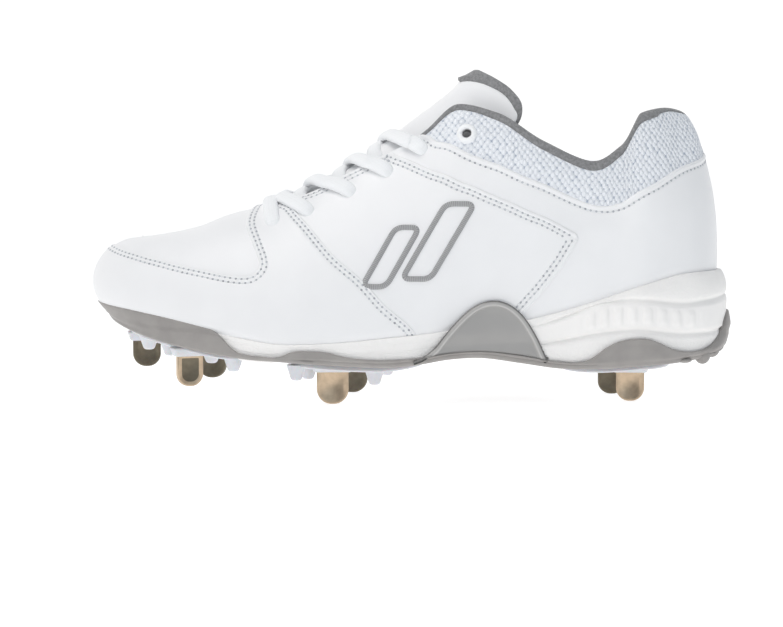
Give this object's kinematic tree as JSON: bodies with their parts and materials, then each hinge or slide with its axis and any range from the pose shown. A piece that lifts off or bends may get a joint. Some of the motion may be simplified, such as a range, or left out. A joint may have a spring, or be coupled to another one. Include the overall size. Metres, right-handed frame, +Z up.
{
  "type": "softball cleat",
  "caption": "Low softball cleat for the left foot: hollow white leather and mesh upper, padded collar, laced throat, grey outsole with lug plates and steel blade spikes",
  "frame": {"origin": "on the floor under the middle of the shoe's box, the floor being the plane that the ball and heel spikes stand on", "axes": "+X towards the heel, -X towards the toe, -Y towards the outer side of the foot, +Z up"},
  "size_m": [0.2876, 0.0982, 0.147],
  "materials": {
    "white_leather": "satin",
    "white_mesh": "matte",
    "white_foam": "matte",
    "grey_rubber": "matte",
    "grey_shield": "satin",
    "white_plastic": "satin",
    "spike_steel": "satin",
    "white_cord": "matte",
    "grey_lining": "matte"
  },
  "bodies": {
    "root": {"upper": "white_mesh", "toe_wrap": "white_leather", "quarter_lateral": "white_leather", "quarter_medial": "white_leather", "heel_counter": "white_leather", "tongue": "white_leather", "laces": "white_cord", "top_eyelet_lateral": "white_plastic", "top_eyelet_medial": "white_plastic", "insole": "grey_lining", "midsole": "white_foam", "outsole": "grey_rubber", "arch_shield_lateral": "grey_shield", "arch_shield_medial": "grey_shield", "front_lug_plate": "white_plastic", "ball_lug_plate": "white_plastic", "heel_lug_plate": "white_plastic", "spike_toe": "spike_steel", "spike_front_lateral": "spike_steel", "spike_front_medial": "spike_steel", "spike_ball_lateral": "spike_steel", "spike_ball_medial": "spike_steel", "spike_heel_lateral": "spike_steel", "spike_heel_medial": "spike_steel"}
  },
  "joints": []
}
